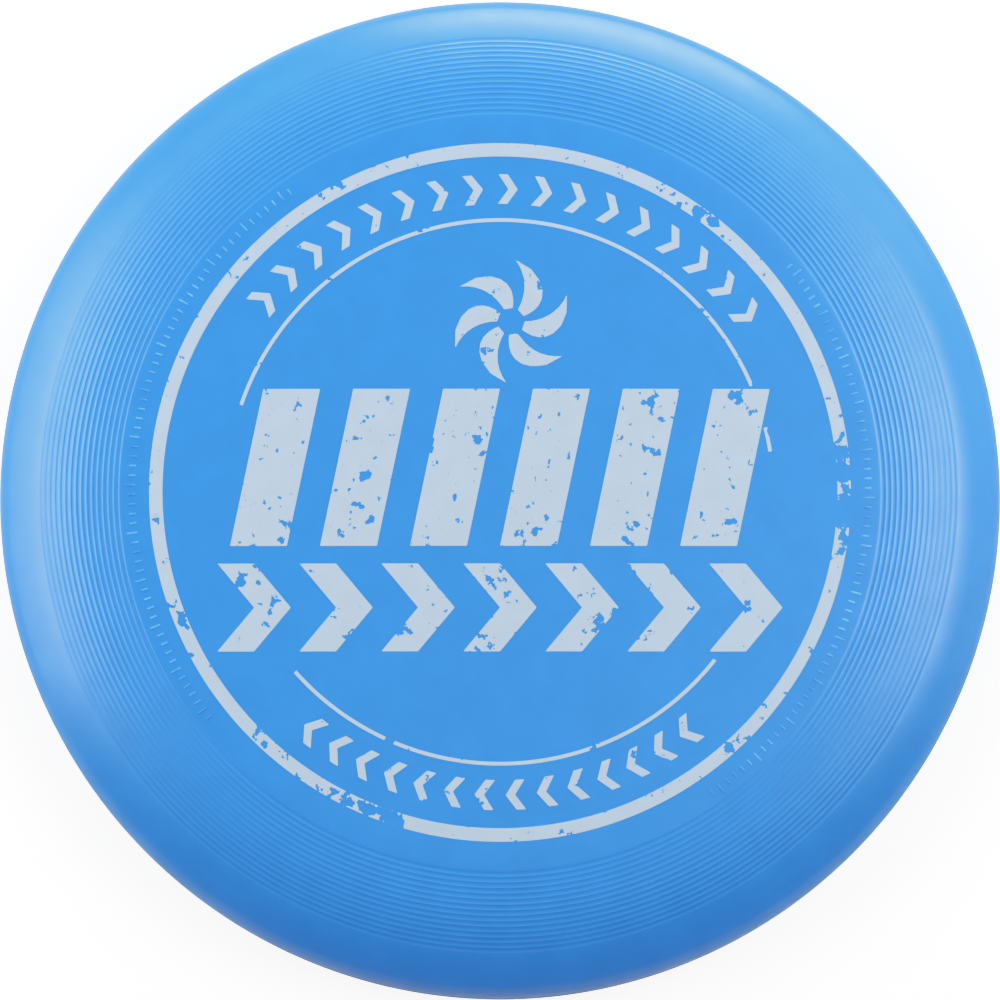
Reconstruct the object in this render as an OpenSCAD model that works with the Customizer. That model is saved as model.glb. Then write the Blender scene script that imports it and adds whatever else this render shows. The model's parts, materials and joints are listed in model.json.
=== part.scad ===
// Flying disc of the 175 g class: one moulded disc with a one-colour print on its flight plate.
// Millimetres, +Z up. The origin is the centre of the rim's resting plane.

/* [Disc] */
// Outside diameter at the widest part of the rim
disc_d = 274; // [270:1:278]
// Height from the resting plane to the top of the flight plate
disc_h = 32; // [30:0.5:34]
// Thickness of the flight plate
plate_t = 1.9; // [1.7:0.05:2.2]
// Thickness of the rim wall at its widest part
rim_t = 4.3; // [3.9:0.1:5]

/* [Shoulder and rim] */
// Radius where the shallow dome of the flight plate ends
plate_r = 98.4; // [96:0.2:99.2]
// Slope at the end of the flight plate, in degrees
plate_slope = 1.52; // [1:0.02:2.2]
// Radius in the middle of the shoulder
shoulder_mid_r = 111.4; // [109:0.2:113.4]
// Slope in the middle of the shoulder, in degrees
shoulder_mid_slope = 8.3; // [7:0.1:10]
// Radius where the grooved shoulder ends and the smooth rim begins
shoulder_end_r = 125.8; // [124.8:0.2:127]
// Slope at the end of the shoulder, in degrees
shoulder_end_slope = 27.4; // [24:0.2:30]
// Radius where the tight bend of the rim begins
nose_r = 134.2; // [133:0.1:134.8]
// Slope where the tight bend of the rim begins, in degrees
nose_slope = 43; // [38:1:50]

/* [Grooves] */
// Number of concentric grooves on the shoulder
groove_count = 15; // [10:1:15]
// Distance between two grooves, measured along the surface
groove_pitch = 1.52; // [1.4:0.02:1.56]
// Depth of each groove
groove_depth = 0.1; // [0.08:0.01:0.25]
// Radius of the first groove's inner edge
groove_start_r = 103.6; // [102.8:0.1:104]

/* [Rim lip] */
// Rounding of the lip's outer lower corner
lip_outer_round = 2; // [1.4:0.1:2.4]
// Rounding of the lip's inner lower corner
lip_inner_round = 0.8; // [0.5:0.1:0.9]

/* [Moulded marks] */
// Inner radius of the raised tick scale
tick_r = 99.3; // [98.8:0.1:99.7]
// Angle between two ticks
tick_step = 1.5; // [1.4:0.1:2.8]
// Length of a short tick
tick_short = 2; // [1:0.1:2.4]
// Length of a long tick
tick_long = 3; // [2:0.1:3.2]
// Width of a tick
tick_w = 0.6; // [0.4:0.05:0.8]
// Height of a tick above the surface
tick_h = 0.15; // [0.1:0.05:0.25]
// Radius of the moulding gate's recess under the centre
gate_r = 8; // [6:0.5:10]
// Depth of the gate recess
gate_depth = 0.5; // [0.3:0.1:0.8]
// Radius of the gate nub inside the recess
nub_r = 1.6; // [1.2:0.1:2.4]

/* [Print] */
// Thickness of the printed film
film_t = 0.05; // [0.04:0.01:0.1]
// Outer radius of the wide border ring
border_r = 95.6; // [94:0.1:96]
// Width of the border ring
border_w = 3.7; // [3:0.1:5]
// Outer radius of the thin arcs
thin_r = 74.9; // [73:0.1:76]
// Width of the thin arcs
thin_w = 1.04; // [0.8:0.02:1.6]
// Middle radius of the band of small chevrons
band_r = 82.9; // [81:0.1:83.5]
// Height of the band of small chevrons
band_h = 8.2; // [6:0.2:9]
// Middle of the row of slanted bars
bars_y = 6.5; // [5:0.5:8]
// Height of the row of slanted bars
bars_h = 43; // [38:1:46]
// Middle of the row of large chevrons
chevrons_y = -31.8; // [-34:0.2:-30]
// Height of the row of large chevrons
chevrons_h = 24; // [20:1:26]
// Sideways place of the pinwheel's middle
pinwheel_x = 3; // [-8:0.5:8]
// Forward place of the pinwheel's middle
pinwheel_y = 46.5; // [46:0.5:52]
// Radius of the pinwheel
pinwheel_r = 17; // [14:0.5:18]

/* [Hidden] */
$fn = 96;

disc_r = disc_d / 2;
plate_colour = "#459CE8";
ink_colour = "#C2D5E6";

// The upper side is a chain of arcs, each tangent to the next. Along an arc the sine of the slope
// grows evenly with the radius. A knot is the radius and the slope where two arcs meet.
KNOTS = [
    [0, 0],
    [plate_r, plate_slope],
    [shoulder_mid_r, shoulder_mid_slope],
    [shoulder_end_r, shoulder_end_slope],
    [nose_r, nose_slope],
    [disc_r, 90],
];
ARCS = len(KNOTS) - 1;
SINE_BY_RADIUS = [for (k = KNOTS) [k[0], sin(k[1])]];
RADIUS_BY_SINE = [for (k = KNOTS) [sin(k[1]), k[0]]];

// Bend radius of arc i, and the height and the distance along the surface where it starts
function bend(i) = (KNOTS[i + 1][0] - KNOTS[i][0]) / (sin(KNOTS[i + 1][1]) - sin(KNOTS[i][1]));
function knot_z(i) = i == 0 ? disc_h :
    knot_z(i - 1) - bend(i - 1) * (cos(KNOTS[i - 1][1]) - cos(KNOTS[i][1]));
function knot_s(i) = i == 0 ? 0 :
    knot_s(i - 1) + bend(i - 1) * (KNOTS[i][1] - KNOTS[i - 1][1]) * PI / 180;

function sine_at(r) = lookup(r, SINE_BY_RADIUS);
function slope_at(r) = asin(sine_at(r));
function radius_of_slope(slope) = lookup(sin(slope), RADIUS_BY_SINE);
function arc_at(r, i = 0) = i == ARCS - 1 || r < KNOTS[i + 1][0] ? i : arc_at(r, i + 1);
function top_z(r) = let (i = arc_at(r)) knot_z(i) - bend(i) * (cos(KNOTS[i][1]) - cos(slope_at(r)));

// Distance along the surface from the centre, and the radius at such a distance
function along(r) = let (i = arc_at(r)) knot_s(i) + bend(i) * (slope_at(r) - KNOTS[i][1]) * PI / 180;
function radius_at(s, i = 0) = i < ARCS - 1 && s > knot_s(i + 1) ? radius_at(s, i + 1)
    : radius_of_slope(KNOTS[i][1] + (s - knot_s(i)) / bend(i) * 180 / PI);

// A point of the upper side at radius r, moved inwards along the surface normal
function top_point(r, inwards = 0) = let (sine = sine_at(r))
    [r - inwards * sine, top_z(r) - inwards * sqrt(1 - sine ^ 2)];
function groove_cut(t) = groove_depth * (1 - cos(180 * t) ^ 4);
function wall_t(sine) = plate_t + (rim_t - plate_t) * sine ^ 1.4;

dome_steps = 14;
groove_steps = 8;
bend_steps = 12;
groove_start_s = along(groove_start_r);
groove_end_r = radius_at(groove_start_s + groove_count * groove_pitch);

// The rim's round from radius r to the equator, its widest part, in even steps of slope
function round_radius(r, i) = radius_of_slope(slope_at(r) + (90 - slope_at(r)) * i / bend_steps);

UPPER = concat(
    [for (i = [0:dome_steps]) top_point(plate_r * i / dome_steps)],
    [top_point((plate_r + groove_start_r) / 2)],
    [for (i = [0:groove_count * groove_steps])
        let (t = i / groove_steps, r = radius_at(groove_start_s + t * groove_pitch))
        top_point(r, groove_cut(t - floor(t)))],
    [for (i = [1:bend_steps]) top_point(round_radius(max(groove_end_r, shoulder_end_r), i))]
);

// The outer wall is upright below the equator, the widest part. Its lower corner is round.
inner_r = disc_r - rim_t;
corner_steps = 6;
LIP = concat(
    [for (i = [0:corner_steps]) let (a = 90 * i / corner_steps)
        [disc_r - lip_outer_round * (1 - cos(a)), lip_outer_round * (1 - sin(a))]],
    [for (i = [0:corner_steps]) let (a = 90 * i / corner_steps)
        [inner_r + lip_inner_round * (1 - sin(a)), lip_inner_round * (1 - cos(a))]]
);

under_steps = 10;
function under_point(r) = top_point(r, wall_t(sine_at(r)));
gate_z = under_point(0)[1];
UNDER = concat(
    [for (i = [bend_steps:-1:0]) under_point(round_radius(shoulder_end_r, i))],
    [for (i = [under_steps - 1:-1:1])
        under_point(plate_r + (shoulder_end_r - plate_r) * i / under_steps)],
    [for (i = [dome_steps:-1:2]) under_point(plate_r * i / dome_steps)],
    [[gate_r, under_point(gate_r)[1]], [gate_r, gate_z + gate_depth], [nub_r, gate_z + gate_depth],
     [nub_r, gate_z], [0, gate_z]]
);

// One tick of the raised scale, counted from the scale's middle and long at every fifth place
module tick(place) {
    length = place % 5 == 0 ? tick_long : tick_short;
    foot = 0.6;
    middle_r = tick_r + length / 2;
    translate([middle_r, 0, top_z(middle_r) - foot])
        rotate([0, slope_at(middle_r), 0])
            translate([-length / 2, -tick_w / 2, 0]) cube([length, tick_w, foot + tick_h]);
}

// The two tick scales face each other across the disc, in place of any lettering
module tick_scales() {
    REACH = 31;
    for (side = [0, 180], place = [-REACH:REACH])
        rotate([0, 0, side + place * tick_step - 8.5]) tick(place);
}

// The whole moulding: flight plate, grooved shoulder, rim and lip
module disc_body() {
    color(plate_colour) union() {
        rotate_extrude() polygon(concat(UPPER, LIP, UNDER));
        tick_scales();
    }
}

// The film over the whole flight plate, cut to shape by the flat outlines it is given
module film() {
    RADII = [for (i = [0:dome_steps]) plate_r * i / dome_steps];
    color(ink_colour) intersection() {
        translate([0, 0, top_z(plate_r) - 1]) linear_extrude(disc_h - top_z(plate_r) + 2) children();
        rotate_extrude() polygon(concat(
            [for (r = RADII) [r, top_z(r)]],
            [for (i = [dome_steps:-1:0]) [RADII[i], top_z(RADII[i]) + film_t]]
        ));
    }
}

// A curved strip of film, from angle a to angle b
module film_strip(outer_r, width, a, b) {
    inner_r = outer_r - width;
    color(ink_colour) rotate([0, 0, a]) rotate_extrude(angle = b - a)
        polygon([[inner_r, top_z(inner_r)], [outer_r, top_z(outer_r)],
                 [outer_r, top_z(outer_r) + film_t], [inner_r, top_z(inner_r) + film_t]]);
}

// A chevron pointing along +X, of the given length, height and arm thickness
module chevron(length, height, arm) {
    reach = length - arm;
    polygon([[-length / 2, height / 2], [-length / 2 + arm, height / 2], [length / 2, 0],
             [-length / 2 + arm, -height / 2], [-length / 2, -height / 2],
             [-length / 2 + reach, 0]]);
}

// The wide ring is broken where the print has worn through
module print_border_ring() {
    // Start and end of each unbroken stretch
    STRETCHES = [[-46.5, -9], [7.5, 52.5], [57, 197.5], [204, 247.2], [253.6, 310.8]];
    for (s = STRETCHES) film_strip(border_r, border_w, s[0], s[1]);
}

module print_thin_arcs() {
    for (s = [[22.8, 161.5], [8.4, 13.6], [221.5, 245.2], [247.2, 321.8]])
        film_strip(thin_r, thin_w, s[0], s[1]);
}

// Small chevrons in a row along the band, all pointing clockwise
module chevron_band(count, a, b) {
    film() for (i = [0:count - 1])
        rotate([0, 0, a + (b - a) * i / (count - 1)])
            translate([0, band_r]) chevron(5.4, band_h, 2.6);
}

module print_upper_band() { chevron_band(17, 51, -54); }

module print_lower_band() { chevron_band(14, 218, 142); }

// Six curved blades round a clear middle
module print_pinwheel() {
    BLADES = 6;
    steps = 8;
    function swept(radius, turn) = [radius * cos(turn), radius * sin(turn)];
    outer_edge = [for (i = [0:steps]) let (t = i / steps)
        swept(pinwheel_r * (0.22 + 0.78 * t), 26 * t ^ 1.5)];
    inner_edge = [for (i = [steps - 1:-1:0]) let (t = i / steps)
        swept(pinwheel_r * (0.22 + 0.78 * t), 26 * t ^ 1.5 - 38 * (1 - t ^ 3))];
    film() translate([pinwheel_x, pinwheel_y]) for (i = [0:BLADES - 1])
        rotate([0, 0, 60 * i]) polygon(concat(outer_edge, inner_edge));
}

// Bold bars that lean in the direction of spin
module print_slanted_bars() {
    COUNT = 6;
    bar_w = 15.5;
    bar_pitch = 24.5;
    lean = 9;
    film() for (i = [0:COUNT - 1])
        translate([(i - (COUNT - 1) / 2) * bar_pitch, bars_y])
            polygon([[-bar_w / 2 - lean / 2, -bars_h / 2], [bar_w / 2 - lean / 2, -bars_h / 2],
                     [bar_w / 2 + lean / 2, bars_h / 2], [-bar_w / 2 + lean / 2, bars_h / 2]]);
}

module print_chevron_row() {
    COUNT = 7;
    film() for (i = [0:COUNT - 1])
        translate([(i - (COUNT - 1) / 2) * 22.3, chevrons_y]) chevron(20, chevrons_h, 10);
}

disc_body();
print_border_ring();
print_thin_arcs();
print_upper_band();
print_lower_band();
print_pinwheel();
print_slanted_bars();
print_chevron_row();
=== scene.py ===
"""Looks of a flying disc of the 175 g class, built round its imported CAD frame.

The disc is one moulding, turned from one outline. The print is a set of thin films that follow the
dome. Each film starts from plain shapes given as distance fields, and loses chips where it is worn.
Outlines are in millimetres, and every mesh is in metres.
"""

import json
import math

import bpy
import numpy as np
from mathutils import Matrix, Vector, noise
from mathutils.geometry import delaunay_2d_cdt


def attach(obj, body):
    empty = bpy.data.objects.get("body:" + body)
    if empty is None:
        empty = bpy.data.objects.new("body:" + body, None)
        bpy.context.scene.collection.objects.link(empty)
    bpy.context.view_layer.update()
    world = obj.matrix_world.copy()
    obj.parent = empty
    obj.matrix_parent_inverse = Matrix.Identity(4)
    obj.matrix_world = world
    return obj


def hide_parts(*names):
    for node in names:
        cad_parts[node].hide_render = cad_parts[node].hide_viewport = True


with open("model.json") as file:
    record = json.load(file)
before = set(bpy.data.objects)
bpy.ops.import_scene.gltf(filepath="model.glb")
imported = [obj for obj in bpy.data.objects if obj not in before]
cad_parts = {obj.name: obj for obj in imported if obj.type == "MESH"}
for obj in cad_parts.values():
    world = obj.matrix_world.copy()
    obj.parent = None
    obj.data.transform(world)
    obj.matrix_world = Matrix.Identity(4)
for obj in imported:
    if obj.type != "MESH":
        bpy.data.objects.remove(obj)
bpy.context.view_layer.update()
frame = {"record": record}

MM = 0.001

# ---------------------------------------------------------------- driving dimensions (mm)

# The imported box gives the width. Its height takes in the print, so the moulding's own height stands here.
DISC_R = frame["record"]["size"]["bbox_m"][0] / MM / 2
DISC_H = 32.0
PLATE_T = 1.9
RIM_T = 4.3
# The wall grows from the plate's to the rim's with this power of the slope's sine.
WALL_GROWTH = 1.4

# The upper side is a chain of arcs. These are the radii where one arc meets the next, and the slopes
# there in degrees: centre, end of the flight plate, mid shoulder, shoulder's end, nose, equator.
KNOT_R = np.array([0, 98.4, 111.4, 125.8, 134.2, DISC_R])
KNOT_SLOPE = np.radians([0, 1.52, 8.3, 27.4, 43.0, 90])

GROOVE_COUNT = 15
GROOVE_PITCH = 1.52
GROOVE_DEPTH = 0.1
GROOVE_START_R = 103.6

LIP_OUTER_ROUND = 2.0
LIP_INNER_ROUND = 0.8

# Two scales of ticks. Their step and turns are in degrees.
TICK_R = 99.3
TICK_STEP = 1.5
TICK_COUNT = 63
TICK_SHORT = 2.0
TICK_LONG = 3.0
TICK_LONG_EVERY = 5
TICK_W = 0.6
TICK_H = 0.15
TICK_TURNS = (-8.5, 171.5)

# The gate mark under the centre: a shallow round dip with a nub in its middle
GATE_R = 8.0
GATE_DEPTH = 0.5
NUB_R = 1.6
NUB_FLARE = 0.25
NUB_CROWN = 0.05

# The film is slightly thinner than in the CAD model, so that it stays inside the CAD box.
FILM_T = 0.048
FILM_SINK = 0.02


# ---------------------------------------------------------------- the outline of the moulding

# Along an arc, the sine of the slope grows evenly with the radius.
KNOT_SINE = np.sin(KNOT_SLOPE)
PLATE_R, SHOULDER_END_R, NOSE_R = KNOT_R[1], KNOT_R[3], KNOT_R[4]
ARC_BEND = np.diff(KNOT_R) / np.diff(KNOT_SINE)
ARC_DROP = ARC_BEND * -np.diff(np.cos(KNOT_SLOPE))
KNOT_Z = DISC_H - np.concatenate([[0], np.cumsum(ARC_DROP)])
EQUATOR_Z = float(KNOT_Z[-1])


def sine_at(r):
    return np.interp(r, KNOT_R, KNOT_SINE)


def top_z(r):
    i = np.clip(np.searchsorted(KNOT_R, r, side="right") - 1, 0, len(ARC_BEND) - 1)
    return KNOT_Z[i] - ARC_BEND[i] * (np.cos(KNOT_SLOPE[i]) - np.sqrt(1 - np.square(sine_at(r))))


def top_point(r, inwards=0.0):
    """A point of the upper side, moved inwards along the surface normal."""
    sine = sine_at(r)
    return r - inwards * sine, top_z(r) - inwards * math.sqrt(1 - sine ** 2)


def groove_points():
    """The scalloped grooves: wide round valleys between narrow crests, evenly spaced along the surface."""
    steps = 14
    fine = np.linspace(GROOVE_START_R, NOSE_R, 4000)
    along = np.concatenate([[0], np.cumsum(np.hypot(np.diff(fine), np.diff(top_z(fine))))])
    points = []
    for i in range(GROOVE_COUNT * steps + 1):
        share = i / steps
        r = float(np.interp(share * GROOVE_PITCH, along, fine))
        cut = GROOVE_DEPTH * (1 - math.cos(math.pi * share) ** 4)
        points.append(top_point(r, cut))
    return points, r


def round_radii(start_r, count):
    """Radii from start_r to the equator, evenly spaced in slope."""
    slopes = np.linspace(math.asin(sine_at(start_r)), math.pi / 2, count + 1)
    return np.interp(np.sin(slopes), KNOT_SINE, KNOT_R)


def lip_points():
    """From the equator down round the outer corner, across the land, and round the inner corner."""
    inner_r = DISC_R - RIM_T
    points = []
    for a in np.radians(np.linspace(0, 90, 13)):
        points.append((DISC_R - LIP_OUTER_ROUND * (1 - math.cos(a)), LIP_OUTER_ROUND * (1 - math.sin(a))))
    for a in np.radians(np.linspace(0, 90, 9)):
        points.append((inner_r + LIP_INNER_ROUND * (1 - math.sin(a)), LIP_INNER_ROUND * (1 - math.cos(a))))
    return points


def under_point(r):
    wall = PLATE_T + (RIM_T - PLATE_T) * sine_at(r) ** WALL_GROWTH
    return top_point(r, wall)


def under_points():
    """Up the inner wall, across the underside, and over the gate mark to the centre."""
    points = [under_point(r) for r in round_radii(SHOULDER_END_R, 40)[::-1]]
    points += [under_point(r) for r in np.linspace(SHOULDER_END_R, PLATE_R, 40)[1:]]
    points += [under_point(r) for r in np.linspace(PLATE_R, GATE_R, 40)[1:]]
    gate_z = under_point(0.0)[1]
    for a in np.radians(np.linspace(0, 90, 7)):
        points.append((GATE_R - GATE_DEPTH * math.sin(a), gate_z + GATE_DEPTH * math.sin(a)))
    for share in np.linspace(0, 1, 7):
        points.append((NUB_R * (1 + NUB_FLARE * (1 - share)), gate_z + GATE_DEPTH * (1 - share)))
    points.append((0.0, gate_z - NUB_CROWN))
    return points


def disc_outline():
    grooves, groove_end_r = groove_points()
    dome = [top_point(r) for r in np.linspace(0, PLATE_R, 41)]
    edge = [top_point(r) for r in np.linspace(PLATE_R, GROOVE_START_R, 7)[1:-1]]
    rim = [top_point(r) for r in round_radii(max(groove_end_r, SHOULDER_END_R), 48)[1:]]
    return dome + edge + grooves + rim + lip_points() + under_points()


# ---------------------------------------------------------------- mesh helpers

def new_piece(name, vertices, faces, material, slot, *nodes):
    """A mesh piece in metres that rides on the disc and stands for these CAD nodes."""
    mesh = bpy.data.meshes.new(name)
    mesh.from_pydata(vertices, [], faces)
    mesh.update()
    piece = bpy.data.objects.new(name, mesh)
    bpy.context.scene.collection.objects.link(piece)
    mesh.materials.append(material)
    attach(piece, "root")
    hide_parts(*nodes)
    return piece


def lathe(outline, segments):
    """Vertices and faces of an outline turned round Z. Its first and last points lie on the axis."""
    outline = np.array(outline) * MM
    ring = outline[1:-1]
    turns = np.arange(segments) * 2 * math.pi / segments
    x = ring[:, :1] * np.cos(turns)
    y = ring[:, :1] * np.sin(turns)
    z = np.repeat(ring[:, 1:], segments, axis=1)
    vertices = np.stack([x, y, z], axis=2).reshape(-1, 3).tolist()
    first = len(vertices)
    vertices += [(0, 0, outline[0][1]), (0, 0, outline[-1][1])]
    last_ring = (len(ring) - 1) * segments
    faces = []
    for j in range(segments):
        k = (j + 1) % segments
        faces.append((first, j, k))
        faces.append((first + 1, last_ring + k, last_ring + j))
        for i in range(len(ring) - 1):
            a, b = i * segments, (i + 1) * segments
            faces.append((a + j, b + j, b + k, a + k))
    return vertices, faces


# ---------------------------------------------------------------- materials

class Graph:
    """A short way to build one material's node graph."""

    def __init__(self, name):
        self.material = bpy.data.materials.new(name)
        self.material.use_nodes = True
        self.nodes = self.material.node_tree.nodes
        self.links = self.material.node_tree.links
        self.nodes.clear()
        self.coords = self.nodes.new("ShaderNodeTexCoord").outputs["Object"]

    def add(self, kind, inputs=None, **settings):
        node = self.nodes.new(kind)
        for key, value in settings.items():
            setattr(node, key, value)
        for key, value in (inputs or {}).items():
            self.put(node.inputs[key], value)
        return node

    def put(self, socket, value):
        if isinstance(value, bpy.types.NodeSocket):
            self.links.new(value, socket)
        else:
            socket.default_value = value

    def noise(self, size_mm, detail=2.0, roughness=0.5):
        """Fractal noise from 0 to 1 with features of about this size."""
        node = self.add("ShaderNodeTexNoise", {
            "Vector": self.coords, "Scale": 1 / (size_mm * MM), "Detail": detail, "Roughness": roughness})
        return node.outputs["Fac"]

    def remap(self, value, low, high, to_low, to_high):
        node = self.add("ShaderNodeMapRange", {
            "Value": value, "From Min": low, "From Max": high, "To Min": to_low, "To Max": to_high})
        return node.outputs["Result"]

    def math(self, operation, a, b):
        return self.add("ShaderNodeMath", {0: a, 1: b}, operation=operation).outputs[0]

    def mix(self, factor, a, b):
        node = self.add("ShaderNodeMix", {"Factor": factor}, data_type="RGBA")
        self.put(node.inputs[6], a)
        self.put(node.inputs[7], b)
        return node.outputs[2]

    def bump(self, height, distance_mm, strength=1.0, normal=None):
        node = self.add("ShaderNodeBump", {
            "Height": height, "Distance": distance_mm * MM, "Strength": strength})
        if normal is not None:
            self.put(node.inputs["Normal"], normal)
        return node.outputs["Normal"]

    def finish(self, **inputs):
        shader = self.add("ShaderNodeBsdfPrincipled")
        for key, value in inputs.items():
            self.put(shader.inputs[key.replace("_", " ").title().replace("Ior", "IOR")], value)
        self.add("ShaderNodeOutputMaterial", {"Surface": shader.outputs[0]})
        return self.material


def colour(red, green, blue):
    """A linear colour from display values of 0 to 255."""
    shares = [c / 255 for c in (red, green, blue)]
    return tuple(((c + 0.055) / 1.055) ** 2.4 for c in shares) + (1.0,)


BLUE = colour(34, 111, 185)
BLUE_DEEP = colour(30, 108, 181)
# The raised ticks are coloured a lighter blue than the plate.
TICK_BLUE = colour(80, 146, 206)
INK = colour(144, 163, 180)
INK_SHADE = colour(139, 158, 175)
FLOOR_GLOW = 1.25
IOR = 1.55


def disc_plastic(name, light, deep):
    """Satin polyethylene: faint flow clouds in colour and gloss, and a very fine moulded grain."""
    g = Graph(name)
    clouds = g.noise(9, detail=3)
    grain = g.noise(0.45, detail=2)
    tone = g.mix(g.remap(clouds, 0.35, 0.65, 0, 1), light, deep)
    roughness = g.math("ADD", g.remap(clouds, 0.3, 0.7, 0.32, 0.36), g.remap(grain, 0.3, 0.7, -0.02, 0.02))
    flow = g.bump(clouds, 0.02)
    normal = g.bump(grain, 0.004, normal=flow)
    return g.finish(base_color=tone, roughness=roughness, ior=IOR, normal=normal)


def printed_film():
    """Pale printed film: a fine speckle and a slightly uneven coat over the blue."""
    g = Graph("printed_film")
    speckle = g.noise(0.5, detail=1)
    cover = g.noise(6, detail=3)
    amount = g.math("ADD", g.remap(speckle, 0.35, 0.65, 0, 0.35), g.remap(cover, 0.35, 0.65, 0, 0.5))
    tone = g.mix(amount, INK, INK_SHADE)
    normal = g.bump(speckle, 0.003)
    return g.finish(base_color=tone, roughness=0.36, ior=IOR, normal=normal)


def floor_paint():
    """A pale floor. The camera sees it brighter than it is, and it is clear from below."""
    g = Graph("floor_paint")
    paint = g.add("ShaderNodeBsdfDiffuse", {"Color": (0.6, 0.6, 0.6, 1)})
    seen = g.add("ShaderNodeLightPath").outputs["Is Camera Ray"]
    strength = g.math("MULTIPLY", seen, FLOOR_GLOW)
    glow = g.add("ShaderNodeEmission", {"Color": (1, 1, 1, 1), "Strength": strength})
    both = g.add("ShaderNodeAddShader", {0: paint.outputs[0], 1: glow.outputs[0]})
    clear = g.add("ShaderNodeBsdfTransparent")
    side = g.add("ShaderNodeNewGeometry").outputs["Backfacing"]
    shader = g.add("ShaderNodeMixShader", {0: side, 1: both.outputs[0], 2: clear.outputs[0]})
    g.add("ShaderNodeOutputMaterial", {"Surface": shader.outputs[0]})
    return g.material


# ---------------------------------------------------------------- the moulding

SEGMENTS = 480
SHARP = math.radians(35)


def smooth(piece):
    piece.data.shade_smooth()
    piece.data.set_sharp_from_angle(angle=SHARP)


def build_disc(material):
    vertices, faces = lathe(disc_outline(), SEGMENTS)
    smooth(new_piece("disc_moulding", vertices, faces, material, "disc_plastic", "disc_body"))


def build_ticks(material):
    """Two scales of raised ticks, long at every fifth place, with rounded tops and ends."""
    foot = 0.1
    sides = 10
    vertices, faces = [], []
    for turn in TICK_TURNS:
        for i in range(TICK_COUNT):
            length = TICK_LONG if i % TICK_LONG_EVERY == 1 else TICK_SHORT
            middle_r = TICK_R + length / 2
            angle = math.radians(turn + (i - (TICK_COUNT - 1) / 2) * TICK_STEP)
            sine = sine_at(middle_r)
            start = len(vertices)
            # A pill-shaped outline, drawn at the foot, near the top and inset on the top
            for height, inset in ((-foot, 0), (TICK_H * 0.6, 0.02), (TICK_H, 0.1)):
                for s in range(sides):
                    a = (s + 0.5) * 2 * math.pi / sides
                    end = math.copysign(length / 2 - TICK_W / 2, math.cos(a))
                    u = end + (TICK_W / 2 - inset) * math.cos(a)
                    v = (TICK_W / 2 - inset) * math.sin(a)
                    r = middle_r + u
                    z = top_z(r) + height
                    x = r * math.cos(angle) - v * math.sin(angle)
                    y = r * math.sin(angle) + v * math.cos(angle)
                    vertices.append((x * MM, y * MM, z * MM))
            for level in range(2):
                low = start + level * sides
                for s in range(sides):
                    t = (s + 1) % sides
                    faces.append((low + s, low + t, low + sides + t, low + sides + s))
            faces.append(tuple(start + 2 * sides + s for s in range(sides)))
            faces.append(tuple(start + s for s in reversed(range(sides))))
    smooth(new_piece("moulded_ticks", vertices, faces, material, "disc_plastic", "disc_body"))


# ---------------------------------------------------------------- the print

# Size of the grid's squares, of the largest chips, and the noise level above which ink is gone
CELL = 0.22
CHIP_SIZE = 2.2
KEEP = 0.72
# Free points inside a film follow the dome: their spacing, and how far they keep from its edge
INNER_STEP = 3.0
INNER_EDGE = 0.6


def polygon_distance(points, x, y):
    """Signed distance to a polygon's edge, negative inside."""
    nearest = np.full(x.shape, 1e9)
    inside = np.zeros(x.shape, bool)
    for (ax, ay), (bx, by) in zip(points, points[1:] + points[:1]):
        ex, ey = bx - ax, by - ay
        t = np.clip(((x - ax) * ex + (y - ay) * ey) / (ex * ex + ey * ey), 0, 1)
        nearest = np.minimum(nearest, np.hypot(x - ax - t * ex, y - ay - t * ey))
        if ay != by:
            crosses = (ay > y) != (by > y)
            inside ^= crosses & (x < ax + (y - ay) * ex / ey)
    return np.where(inside, -nearest, nearest)


def arc_distance(outer_r, width, start, end, x, y):
    """Signed distance to a curved strip between two angles in degrees."""
    r = np.hypot(x, y)
    across = np.abs(r - (outer_r - width / 2)) - width / 2
    middle, half = (start + end) / 2, (end - start) / 2
    turn = (np.degrees(np.arctan2(y, x)) - middle + 180) % 360 - 180
    beyond = np.radians(np.abs(turn) - half) * r
    return np.maximum(across, beyond)


def wear_at(x, y, spots):
    """How far the ink is gone at each point, in mm. A spot is a worn place: middle, size and strength."""
    gone = np.empty(len(x))
    for i, (px, py) in enumerate(zip(x, y)):
        grain = noise.fractal(Vector((px / CHIP_SIZE, py / CHIP_SIZE, 3.7)), 0.55, 2.3, 4)
        keep = KEEP
        for sx, sy, size, strength in spots:
            away = ((px - sx) ** 2 + (py - sy) ** 2) / size ** 2
            if away < 6:
                keep -= strength * math.exp(-away)
        gone[i] = (grain - keep) * CHIP_SIZE * 0.5
    return gone


def sample(field, x0, y0, x, y):
    """The grid's field at free points, by linear interpolation."""
    u, v = (x - x0) / CELL, (y - y0) / CELL
    i = np.clip(u.astype(int), 0, field.shape[1] - 2)
    j = np.clip(v.astype(int), 0, field.shape[0] - 2)
    s, t = u - i, v - j
    low = field[j, i] * (1 - s) + field[j, i + 1] * s
    high = field[j + 1, i] * (1 - s) + field[j + 1, i + 1] * s
    return low * (1 - t) + high * t


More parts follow.
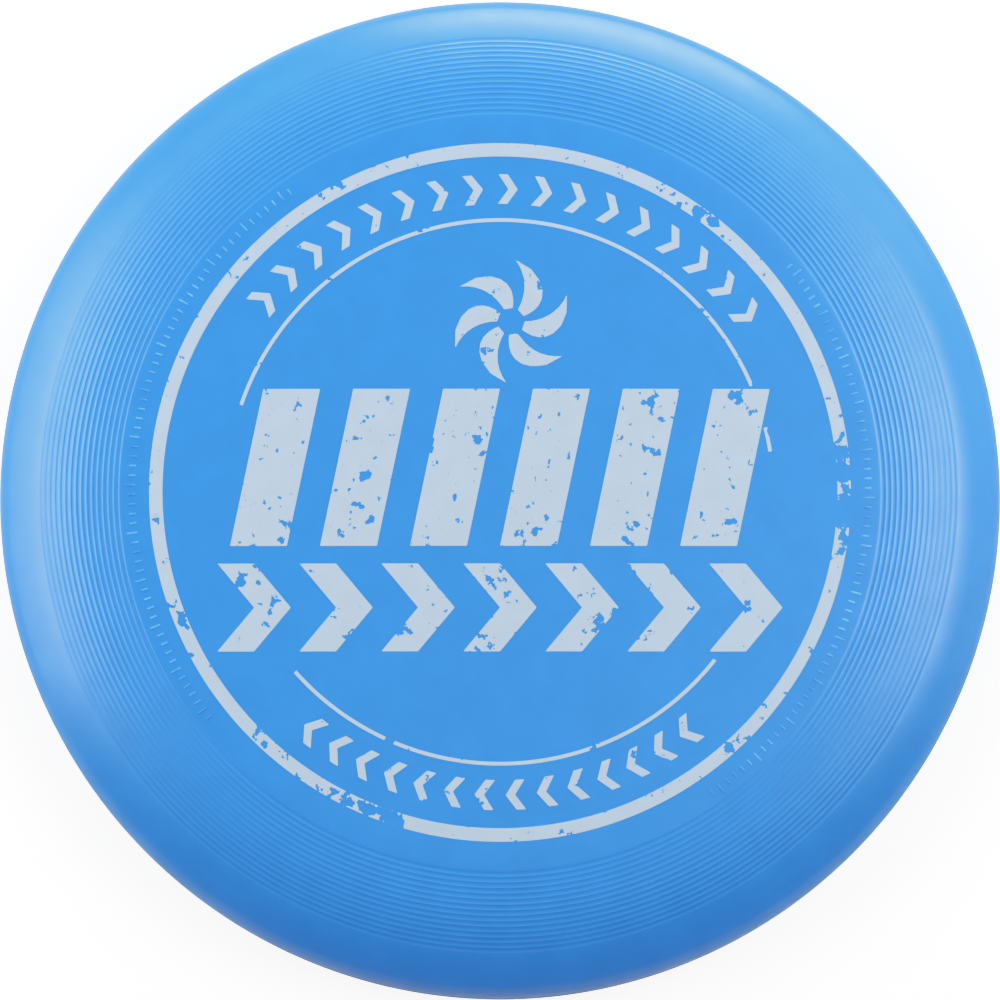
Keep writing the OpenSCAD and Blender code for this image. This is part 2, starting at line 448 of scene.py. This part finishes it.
def outline_of(field, x0, y0):
    """Points and edges of the field's zero line, one point on each grid line that it crosses."""
    rows, columns = field.shape
    inside = field < 0
    points = []
    across = np.full((rows, columns - 1), -1)
    up = np.full((rows - 1, columns), -1)
    for j, i in zip(*np.nonzero(inside[:, 1:] != inside[:, :-1])):
        a, b = field[j, i], field[j, i + 1]
        across[j, i] = len(points)
        points.append((x0 + CELL * (i + a / (a - b)), y0 + CELL * j))
    for j, i in zip(*np.nonzero(inside[1:] != inside[:-1])):
        a, b = field[j, i], field[j + 1, i]
        up[j, i] = len(points)
        points.append((x0 + CELL * i, y0 + CELL * (j + a / (a - b))))
    edges = []
    sides = np.stack([across[:-1], up[:, 1:], across[1:], up[:, :-1]])
    crossed = sides >= 0
    for j, i in zip(*np.nonzero(crossed.any(axis=0))):
        found = [int(s) for s in sides[:, j, i] if s >= 0]
        if len(found) == 2:
            edges.append(tuple(found))
        else:
            middle_inside = field[j:j + 2, i:i + 2].mean() < 0
            if middle_inside == inside[j, i]:
                pairs = ((0, 1), (2, 3))
            else:
                pairs = ((0, 3), (1, 2))
            edges += [(found[a], found[b]) for a, b in pairs]
    return points, edges


def film_solid(shape, low, high, spots):
    """One closed film: shape(x, y) is its signed distance, low and high are the corners of its area."""
    margin = 2 * CELL
    x0, y0 = low[0] - margin, low[1] - margin
    columns = int((high[0] + margin - x0) / CELL) + 2
    rows = int((high[1] + margin - y0) / CELL) + 2
    grid_x, grid_y = np.meshgrid(x0 + CELL * np.arange(columns), y0 + CELL * np.arange(rows))
    field = shape(grid_x, grid_y)
    near = field < CELL
    worn = wear_at(grid_x[near], grid_y[near], spots)
    field[near] = np.maximum(field[near], worn)
    field[np.abs(field) < 1e-4] = 1e-4
    points, edges = outline_of(field, x0, y0)
    inner_x, inner_y = np.meshgrid(np.arange(x0, high[0], INNER_STEP), np.arange(y0, high[1], INNER_STEP))
    deep = sample(field, x0, y0, inner_x.ravel(), inner_y.ravel()) < -INNER_EDGE
    points += list(zip(inner_x.ravel()[deep], inner_y.ravel()[deep]))
    flat, _, triangles, *_ = delaunay_2d_cdt([Vector(p) for p in points], edges, [], 0, 1e-6)
    flat = np.array([tuple(p) for p in flat])
    triangles = np.array([tuple(t) for t in triangles])
    centres = flat[triangles].mean(axis=1)
    triangles = triangles[sample(field, x0, y0, centres[:, 0], centres[:, 1]) < 0]
    return close_film(flat, triangles)


def close_film(flat, triangles):
    """Gives a flat triangle sheet the dome's shape and a thickness."""
    used, triangles = np.unique(triangles, return_inverse=True)
    triangles = triangles.reshape(-1, 3)
    flat = flat[used]
    a, b, c = (flat[triangles[:, k]] for k in range(3))
    turned = (b[:, 0] - a[:, 0]) * (c[:, 1] - a[:, 1]) < (b[:, 1] - a[:, 1]) * (c[:, 0] - a[:, 0])
    triangles[turned] = triangles[turned][:, ::-1]
    count = len(flat)
    ground = top_z(np.hypot(flat[:, 0], flat[:, 1]))
    top = np.column_stack([flat, ground + FILM_T])
    bottom = np.column_stack([flat, ground - FILM_SINK])
    loops = {(t[k], t[(k + 1) % 3]) for t in triangles.tolist() for k in range(3)}
    walls = [(a, a + count, b + count, b) for a, b in sorted(loops) if (b, a) not in loops]
    faces = [tuple(t) for t in triangles.tolist()]
    faces += [(t[2] + count, t[1] + count, t[0] + count) for t in triangles.tolist()]
    return (np.vstack([top, bottom]) * MM).tolist(), faces + walls


def build_film(name, material, node, islands, spots):
    """A print piece from its islands, each given as a distance function and its area's corners."""
    vertices, faces = [], []
    for shape, low, high in islands:
        island_vertices, island_faces = film_solid(shape, low, high, spots)
        start = len(vertices)
        vertices += island_vertices
        faces += [tuple(v + start for v in f) for f in island_faces]
    new_piece(name, vertices, faces, material, "print_ink", node)


def polygon_island(points):
    """An island with a polygon's outline."""
    xs, ys = zip(*points)
    return (lambda x, y: polygon_distance(points, x, y)), (min(xs), min(ys)), (max(xs), max(ys))


def ring_island(outer_r, width, start, end):
    """An island that is a curved strip between two angles in degrees."""
    low, high = (-outer_r, -outer_r), (outer_r, outer_r)
    return (lambda x, y: arc_distance(outer_r, width, start, end, x, y)), low, high


def on_circle(r, degrees):
    return r * math.cos(math.radians(degrees)), r * math.sin(math.radians(degrees))


def turned(points, degrees, shift=(0, 0)):
    """Points turned about the origin, then moved."""
    c, s = math.cos(math.radians(degrees)), math.sin(math.radians(degrees))
    return [(c * x - s * y + shift[0], s * x + c * y + shift[1]) for x, y in points]


def chevron(length, height, arm):
    """A chevron that points along +X."""
    back, tip, half = -length / 2, length / 2, height / 2
    return [(back, half), (back + arm, half), (tip, 0), (back + arm, -half), (back, -half), (tip - arm, 0)]


BORDER_R, BORDER_W = 95.6, 3.7
THIN_R, THIN_W = 74.9, 1.04
BAND_R, BAND_H, BAND_LENGTH, BAND_ARM = 82.9, 8.2, 5.4, 2.6
BAR_W, BAR_H, BAR_PITCH, BAR_LEAN, BARS_Y, BAR_COUNT = 15.5, 43.0, 24.5, 9.0, 6.5, 6
ROW_LENGTH, ROW_H, ROW_ARM, ROW_PITCH, ROW_Y, ROW_COUNT = 20.0, 24.0, 10.0, 22.3, -31.8, 7
WHEEL_R, WHEEL_X, WHEEL_Y, BLADES = 17.0, 3.0, 46.5, 6
HUB_SHARE, BLADE_LEAD, BLADE_SPAN = 0.22, 26, 38


def border_ring(material):
    # Angle, step across the ring, size and strength of each worn place
    right = ((-11.6, -1.4, 1.3, 1.0), (-10, 0.6, 0.9, 1.1), (-8, 1.0, 2.0, 1.5), (-5.2, -1.2, 1.2, 0.9),
             (-2.6, 0, 4.0, 2.0), (0.5, 0.6, 1.2, 1.0), (3.2, 0, 2.9, 1.9), (5.2, -1.0, 1.0, 0.9),
             (6.8, 0.3, 2.1, 1.7), (9.5, 1.2, 1.1, 1.0))
    upper = ((52, 0.6, 1.6, 1.2), (54.8, 0, 2.2, 1.4), (58, -1.2, 1.2, 1.0), (105, 1.6, 1.4, 0.9),
             (118, 1.4, 2.0, 0.9), (121, 1.8, 1.3, 0.9), (140, -1.6, 1.0, 0.9))
    left = ((150, 1.7, 0.9, 1.0), (162, 1.5, 1.1, 0.9), (199, 1.2, 2.0, 1.1), (202, -0.4, 2.4, 1.2),
            (208, 1.6, 1.1, 1.0), (225, 0, 1.8, 0.9), (227, 1.2, 1.4, 0.9))
    lower = ((238.5, 1.2, 1.6, 1.1), (241, 0.2, 2.0, 1.0), (243.3, -0.9, 1.8, 1.05), (243.8, 1.0, 1.6, 1.0),
             (246, 0.6, 2.2, 1.1), (248, 0, 1.7, 1.7), (250.5, -0.5, 3.0, 1.25), (253, 0, 1.6, 1.9),
             (312, 0, 1.7, 1.6), (315, 1.6, 1.0, 0.9), (333, 1.5, 1.1, 1.0))
    middle_r = BORDER_R - BORDER_W / 2
    spots = []
    for angle, step, size, strength in right + upper + left + lower:
        spots.append((*on_circle(middle_r + step, angle), size, strength))
    ring = ring_island(BORDER_R, BORDER_W, -180, 180)
    build_film("border_ring", material, "print_border_ring", [ring], spots)


def thin_arcs(material):
    spans = ((22.8, 161.5), (8.4, 13.6), (221.5, 245.2), (247.2, 321.8))
    places = ((23, 0.8, 0.9), (12.6, 1.2, 0.9), (245, 1.2, 0.9), (247.5, 0.8, 0.8), (290, 0.7, 0.8),
              (317, 0.8, 0.9))
    spots = [(*on_circle(THIN_R, angle), size, strength) for angle, size, strength in places]
    islands = [ring_island(THIN_R, THIN_W, a, b) for a, b in spans]
    build_film("thin_arcs", material, "print_thin_arcs", islands, spots)


def chevron_band(name, material, node, count, start, end):
    islands = []
    for i in range(count):
        angle = start + (end - start) * i / (count - 1)
        middle = on_circle(BAND_R, 90 + angle)
        islands.append(polygon_island(turned(chevron(BAND_LENGTH, BAND_H, BAND_ARM), angle, middle)))
    build_film(name, material, node, islands, [])


def pinwheel(material):
    """Curved blades round a clear middle. Each blade narrows to a point at the wheel's edge."""
    leading, trailing = [], []
    for share in np.linspace(0, 1, 9).tolist():
        r = WHEEL_R * (HUB_SHARE + (1 - HUB_SHARE) * share)
        lead = BLADE_LEAD * share ** 1.5
        leading.append(on_circle(r, lead))
        trailing.append(on_circle(r, lead - BLADE_SPAN * (1 - share ** 3)))
    blade = leading + trailing[-2::-1]
    islands = []
    for i in range(BLADES):
        islands.append(polygon_island(turned(blade, 360 / BLADES * i, (WHEEL_X, WHEEL_Y))))
    spots = [(11, 57, 1.6, 1.0), (8, 60, 1.0, 0.9), (-4, 38, 1.8, 0.9), (-7, 50, 1.0, 1.0),
             (15, 44, 1.3, 0.9)]
    build_film("pinwheel", material, "print_pinwheel", islands, spots)


def slanted_bars(material):
    islands = []
    half_w, half_h, lean = BAR_W / 2, BAR_H / 2, BAR_LEAN / 2
    for i in range(BAR_COUNT):
        x = (i - (BAR_COUNT - 1) / 2) * BAR_PITCH
        corners = [(-half_w - lean, -half_h), (half_w - lean, -half_h), (half_w + lean, half_h),
                   (-half_w + lean, half_h)]
        islands.append(polygon_island(turned(corners, 0, (x, BARS_Y))))
    spots = [(-57, -9, 2.0, 1.0), (-60, -13, 1.2, 0.9), (-68, 4, 0.8, 1.0), (-39, 13, 2.0, 1.1),
             (-37, 4, 2.2, 1.2), (-38, -4, 1.8, 1.1), (-35, -8, 1.4, 0.9), (-43, -12, 1.2, 0.9),
             (-6, 14, 1.8, 1.0), (-5, 10, 1.1, 1.0), (-16, -10, 0.9, 0.9), (6, -12, 1.5, 1.0),
             (10, -11, 2.0, 1.1), (13, -7, 1.3, 0.9), (16, 21, 1.1, 0.9), (41, 25, 2.4, 1.2),
             (44, 19, 1.9, 1.1), (41, 11, 1.6, 0.9), (37, -9, 2.0, 1.1), (34, -13, 1.2, 1.0),
             (64, 26, 2.0, 1.1), (69, 22, 1.4, 1.0), (62, -8, 1.9, 1.1), (58, -12, 1.4, 0.9),
             (56, 6, 0.8, 1.0)]
    build_film("slanted_bars", material, "print_slanted_bars", islands, spots)


def chevron_row(material):
    islands = []
    for i in range(ROW_COUNT):
        x = (i - (ROW_COUNT - 1) / 2) * ROW_PITCH
        islands.append(polygon_island(turned(chevron(ROW_LENGTH, ROW_H, ROW_ARM), 0, (x, ROW_Y))))
    spots = [(-70, -24, 2.0, 1.1), (-66, -21, 1.3, 1.0), (-61, -30, 1.6, 0.9), (-42, -40, 1.2, 1.0),
             (-27, -38, 1.8, 1.0), (-4, -40, 1.6, 1.0), (-2, -24, 2.0, 1.1), (2, -28, 1.2, 0.9),
             (23, -28, 1.6, 1.0), (27, -36, 2.2, 1.2), (31, -33, 1.4, 1.0), (48, -22, 1.2, 0.9),
             (66, -31, 2.0, 1.1), (72, -36, 1.4, 1.0)]
    build_film("chevron_row", material, "print_chevron_row", islands, spots)


# ---------------------------------------------------------------- stage, light and camera

# Sizes and distances in metres, sensor and aim in millimetres, elevation in degrees
FLOOR_SIZE = 12.0
SENSOR = 36.0
CAMERA_DISTANCE = 3.0
CAMERA_ELEVATION = 84.5
AIM_Y = -0.6

# Name, azimuth, half width, lowest and highest elevation in degrees, distance in metres, radiance
SOFTBOXES = (
    ("right_flat", 10, 32, 0, 14, 1.5, 1.4),
    ("right_low", 7, 24, 28, 42, 1.5, 6.3),
    ("right_middle", 5, 22, 42, 56, 1.5, 8.0),
    ("right_high", 10, 32, 56, 68, 1.5, 3.2),
    ("right_back", 30, 13, 34, 66, 1.5, 1.5),
    ("right_front", 338, 12, 24, 66, 1.5, 0.8),
    ("left_near", 172, 30, 4, 26, 0.42, 3.3),
    ("left_low", 172, 28, 28, 42, 1.5, 6.5),
    ("left_middle", 172, 28, 42, 56, 1.5, 5.7),
    ("back_edge", 80, 26, 0, 8, 0.9, 2.7),
    ("back_low", 80, 20, 0, 12, 1.5, 9.0),
    ("back_middle", 82, 20, 12, 26, 1.5, 3.0),
    ("back_upper", 82, 20, 26, 42, 1.5, 2.3),
    ("back_high", 82, 20, 42, 56, 1.5, 1.1),
    ("back_left", 125, 18, 10, 56, 1.5, 1.2),
    ("back_right", 45, 14, 0, 60, 1.5, 1.6),
    ("front", 270, 30, 45, 70, 1.5, 0.2),
    ("over", 0, 12, 70, 90, 2.4, 3.15),
)

# Radiance of the surround: on the disc, and as the camera sees it
SURROUND, SURROUND_SEEN = 0.44, 2.0
HOLLOW_RADIANCE = 0.8
HOLLOW_LAMP_GAP = 6.0

# Light levels and how bright they come out, up to the level that is plain white
TONES = ((0.15, 0.135), (0.45, 0.45), (0.77, 0.69), (1.04, 0.87), (1.3, 0.94))
WHITE_LEVEL = 1.7


def build_floor():
    """One wide square at the height of the disc's lip."""
    half = FLOOR_SIZE / 2
    mesh = bpy.data.meshes.new("floor")
    corners = [(-half, -half, 0), (half, -half, 0), (half, half, 0), (-half, half, 0)]
    mesh.from_pydata(corners, [], [(0, 1, 2, 3)])
    mesh.materials.append(floor_paint())
    floor = bpy.data.objects.new("floor", mesh)
    bpy.context.scene.collection.objects.link(floor)


def softbox(name, azimuth, half_width, low, high, distance, radiance):
    """A light that faces the disc and fills one piece of the sky. Azimuth 0 is +X."""
    middle = math.radians((low + high) / 2)
    light = bpy.data.lights.new(name, "AREA")
    light.shape = "RECTANGLE"
    light.size = 2 * distance * math.tan(math.radians(half_width)) * math.cos(middle)
    light.size_y = 2 * distance * math.tan(math.radians((high - low) / 2))
    light.energy = radiance * math.pi * light.size * light.size_y
    lamp = bpy.data.objects.new(name, light)
    a = math.radians(azimuth)
    away = Vector((math.cos(a) * math.cos(middle), math.sin(a) * math.cos(middle), math.sin(middle)))
    lamp.location = away * distance
    lamp.rotation_mode = "QUATERNION"
    lamp.rotation_quaternion = away.to_track_quat("Z", "Y")
    lamp.visible_camera = False
    bpy.context.scene.collection.objects.link(lamp)


def build_hollow_light():
    """A lamp at the mouth of the hollow, for views from below. Rim and floor shut it in."""
    light = bpy.data.lights.new("hollow", "AREA")
    light.shape = "DISK"
    light.size = 2 * (DISC_R - RIM_T - HOLLOW_LAMP_GAP) * MM
    light.energy = HOLLOW_RADIANCE * math.pi * math.pi * (light.size / 2) ** 2
    lamp = bpy.data.objects.new("hollow", light)
    lamp.location = (0, 0, 0.5 * MM)
    lamp.rotation_euler = (math.pi, 0, 0)
    lamp.visible_camera = False
    bpy.context.scene.collection.objects.link(lamp)


def build_world():
    """An even white surround. The camera sees it as plain white."""
    world = bpy.data.worlds.new("surround")
    world.use_nodes = True
    bpy.context.scene.world = world
    nodes, links = world.node_tree.nodes, world.node_tree.links
    nodes.clear()
    path = nodes.new("ShaderNodeLightPath")
    level = nodes.new("ShaderNodeMapRange")
    level.inputs["To Min"].default_value = SURROUND
    level.inputs["To Max"].default_value = SURROUND_SEEN
    background = nodes.new("ShaderNodeBackground")
    output = nodes.new("ShaderNodeOutputWorld")
    links.new(path.outputs["Is Camera Ray"], level.inputs["Value"])
    links.new(level.outputs["Result"], background.inputs["Strength"])
    links.new(background.outputs[0], output.inputs["Surface"])


def build_lights():
    """Strong light from the right and the left, low strips behind the far edge, and weak fill all round."""
    for box in SOFTBOXES:
        softbox(*box)
    build_hollow_light()
    build_world()


def build_camera():
    """Almost straight above the disc, with a lens that fits the disc's width to the picture."""
    camera_data = bpy.data.cameras.new("camera")
    camera_data.sensor_width = SENSOR
    aim = Vector((0, AIM_Y, EQUATOR_Z)) * MM
    tilt = math.radians(CAMERA_ELEVATION)
    back = Vector((0, -math.cos(tilt), math.sin(tilt)))
    camera_data.lens = SENSOR / 2 * CAMERA_DISTANCE / (DISC_R * MM)
    camera = bpy.data.objects.new("camera", camera_data)
    camera.location = aim + back * CAMERA_DISTANCE
    camera.rotation_mode = "QUATERNION"
    camera.rotation_quaternion = back.to_track_quat("Z", "Y")
    bpy.context.scene.collection.objects.link(camera)
    bpy.context.scene.camera = camera


def set_tone_curve(view):
    """A camera's soft shoulder: highlights roll off gently instead of clipping."""
    view.view_transform = "Standard"
    view.use_curve_mapping = True
    mapping = view.curve_mapping
    mapping.use_clip = False
    shared = mapping.curves[3]
    shared.points[-1].location = (WHITE_LEVEL, 1.0)
    for level, shown in TONES:
        shared.points.new(level, shown)
    mapping.update()


def build_object():
    ink = printed_film()
    build_disc(disc_plastic("moulded_plastic", BLUE, BLUE_DEEP))
    # The ticks mix a lighter blue with the plate's blue.
    build_ticks(disc_plastic("tick_plastic", TICK_BLUE, BLUE))
    border_ring(ink)
    thin_arcs(ink)
    chevron_band("upper_band", ink, "print_upper_band", count=17, start=51, end=-54)
    chevron_band("lower_band", ink, "print_lower_band", count=14, start=218, end=142)
    pinwheel(ink)
    slanted_bars(ink)
    chevron_row(ink)


build_object()
build_floor()
build_lights()
build_camera()
set_tone_curve(bpy.context.scene.view_settings)
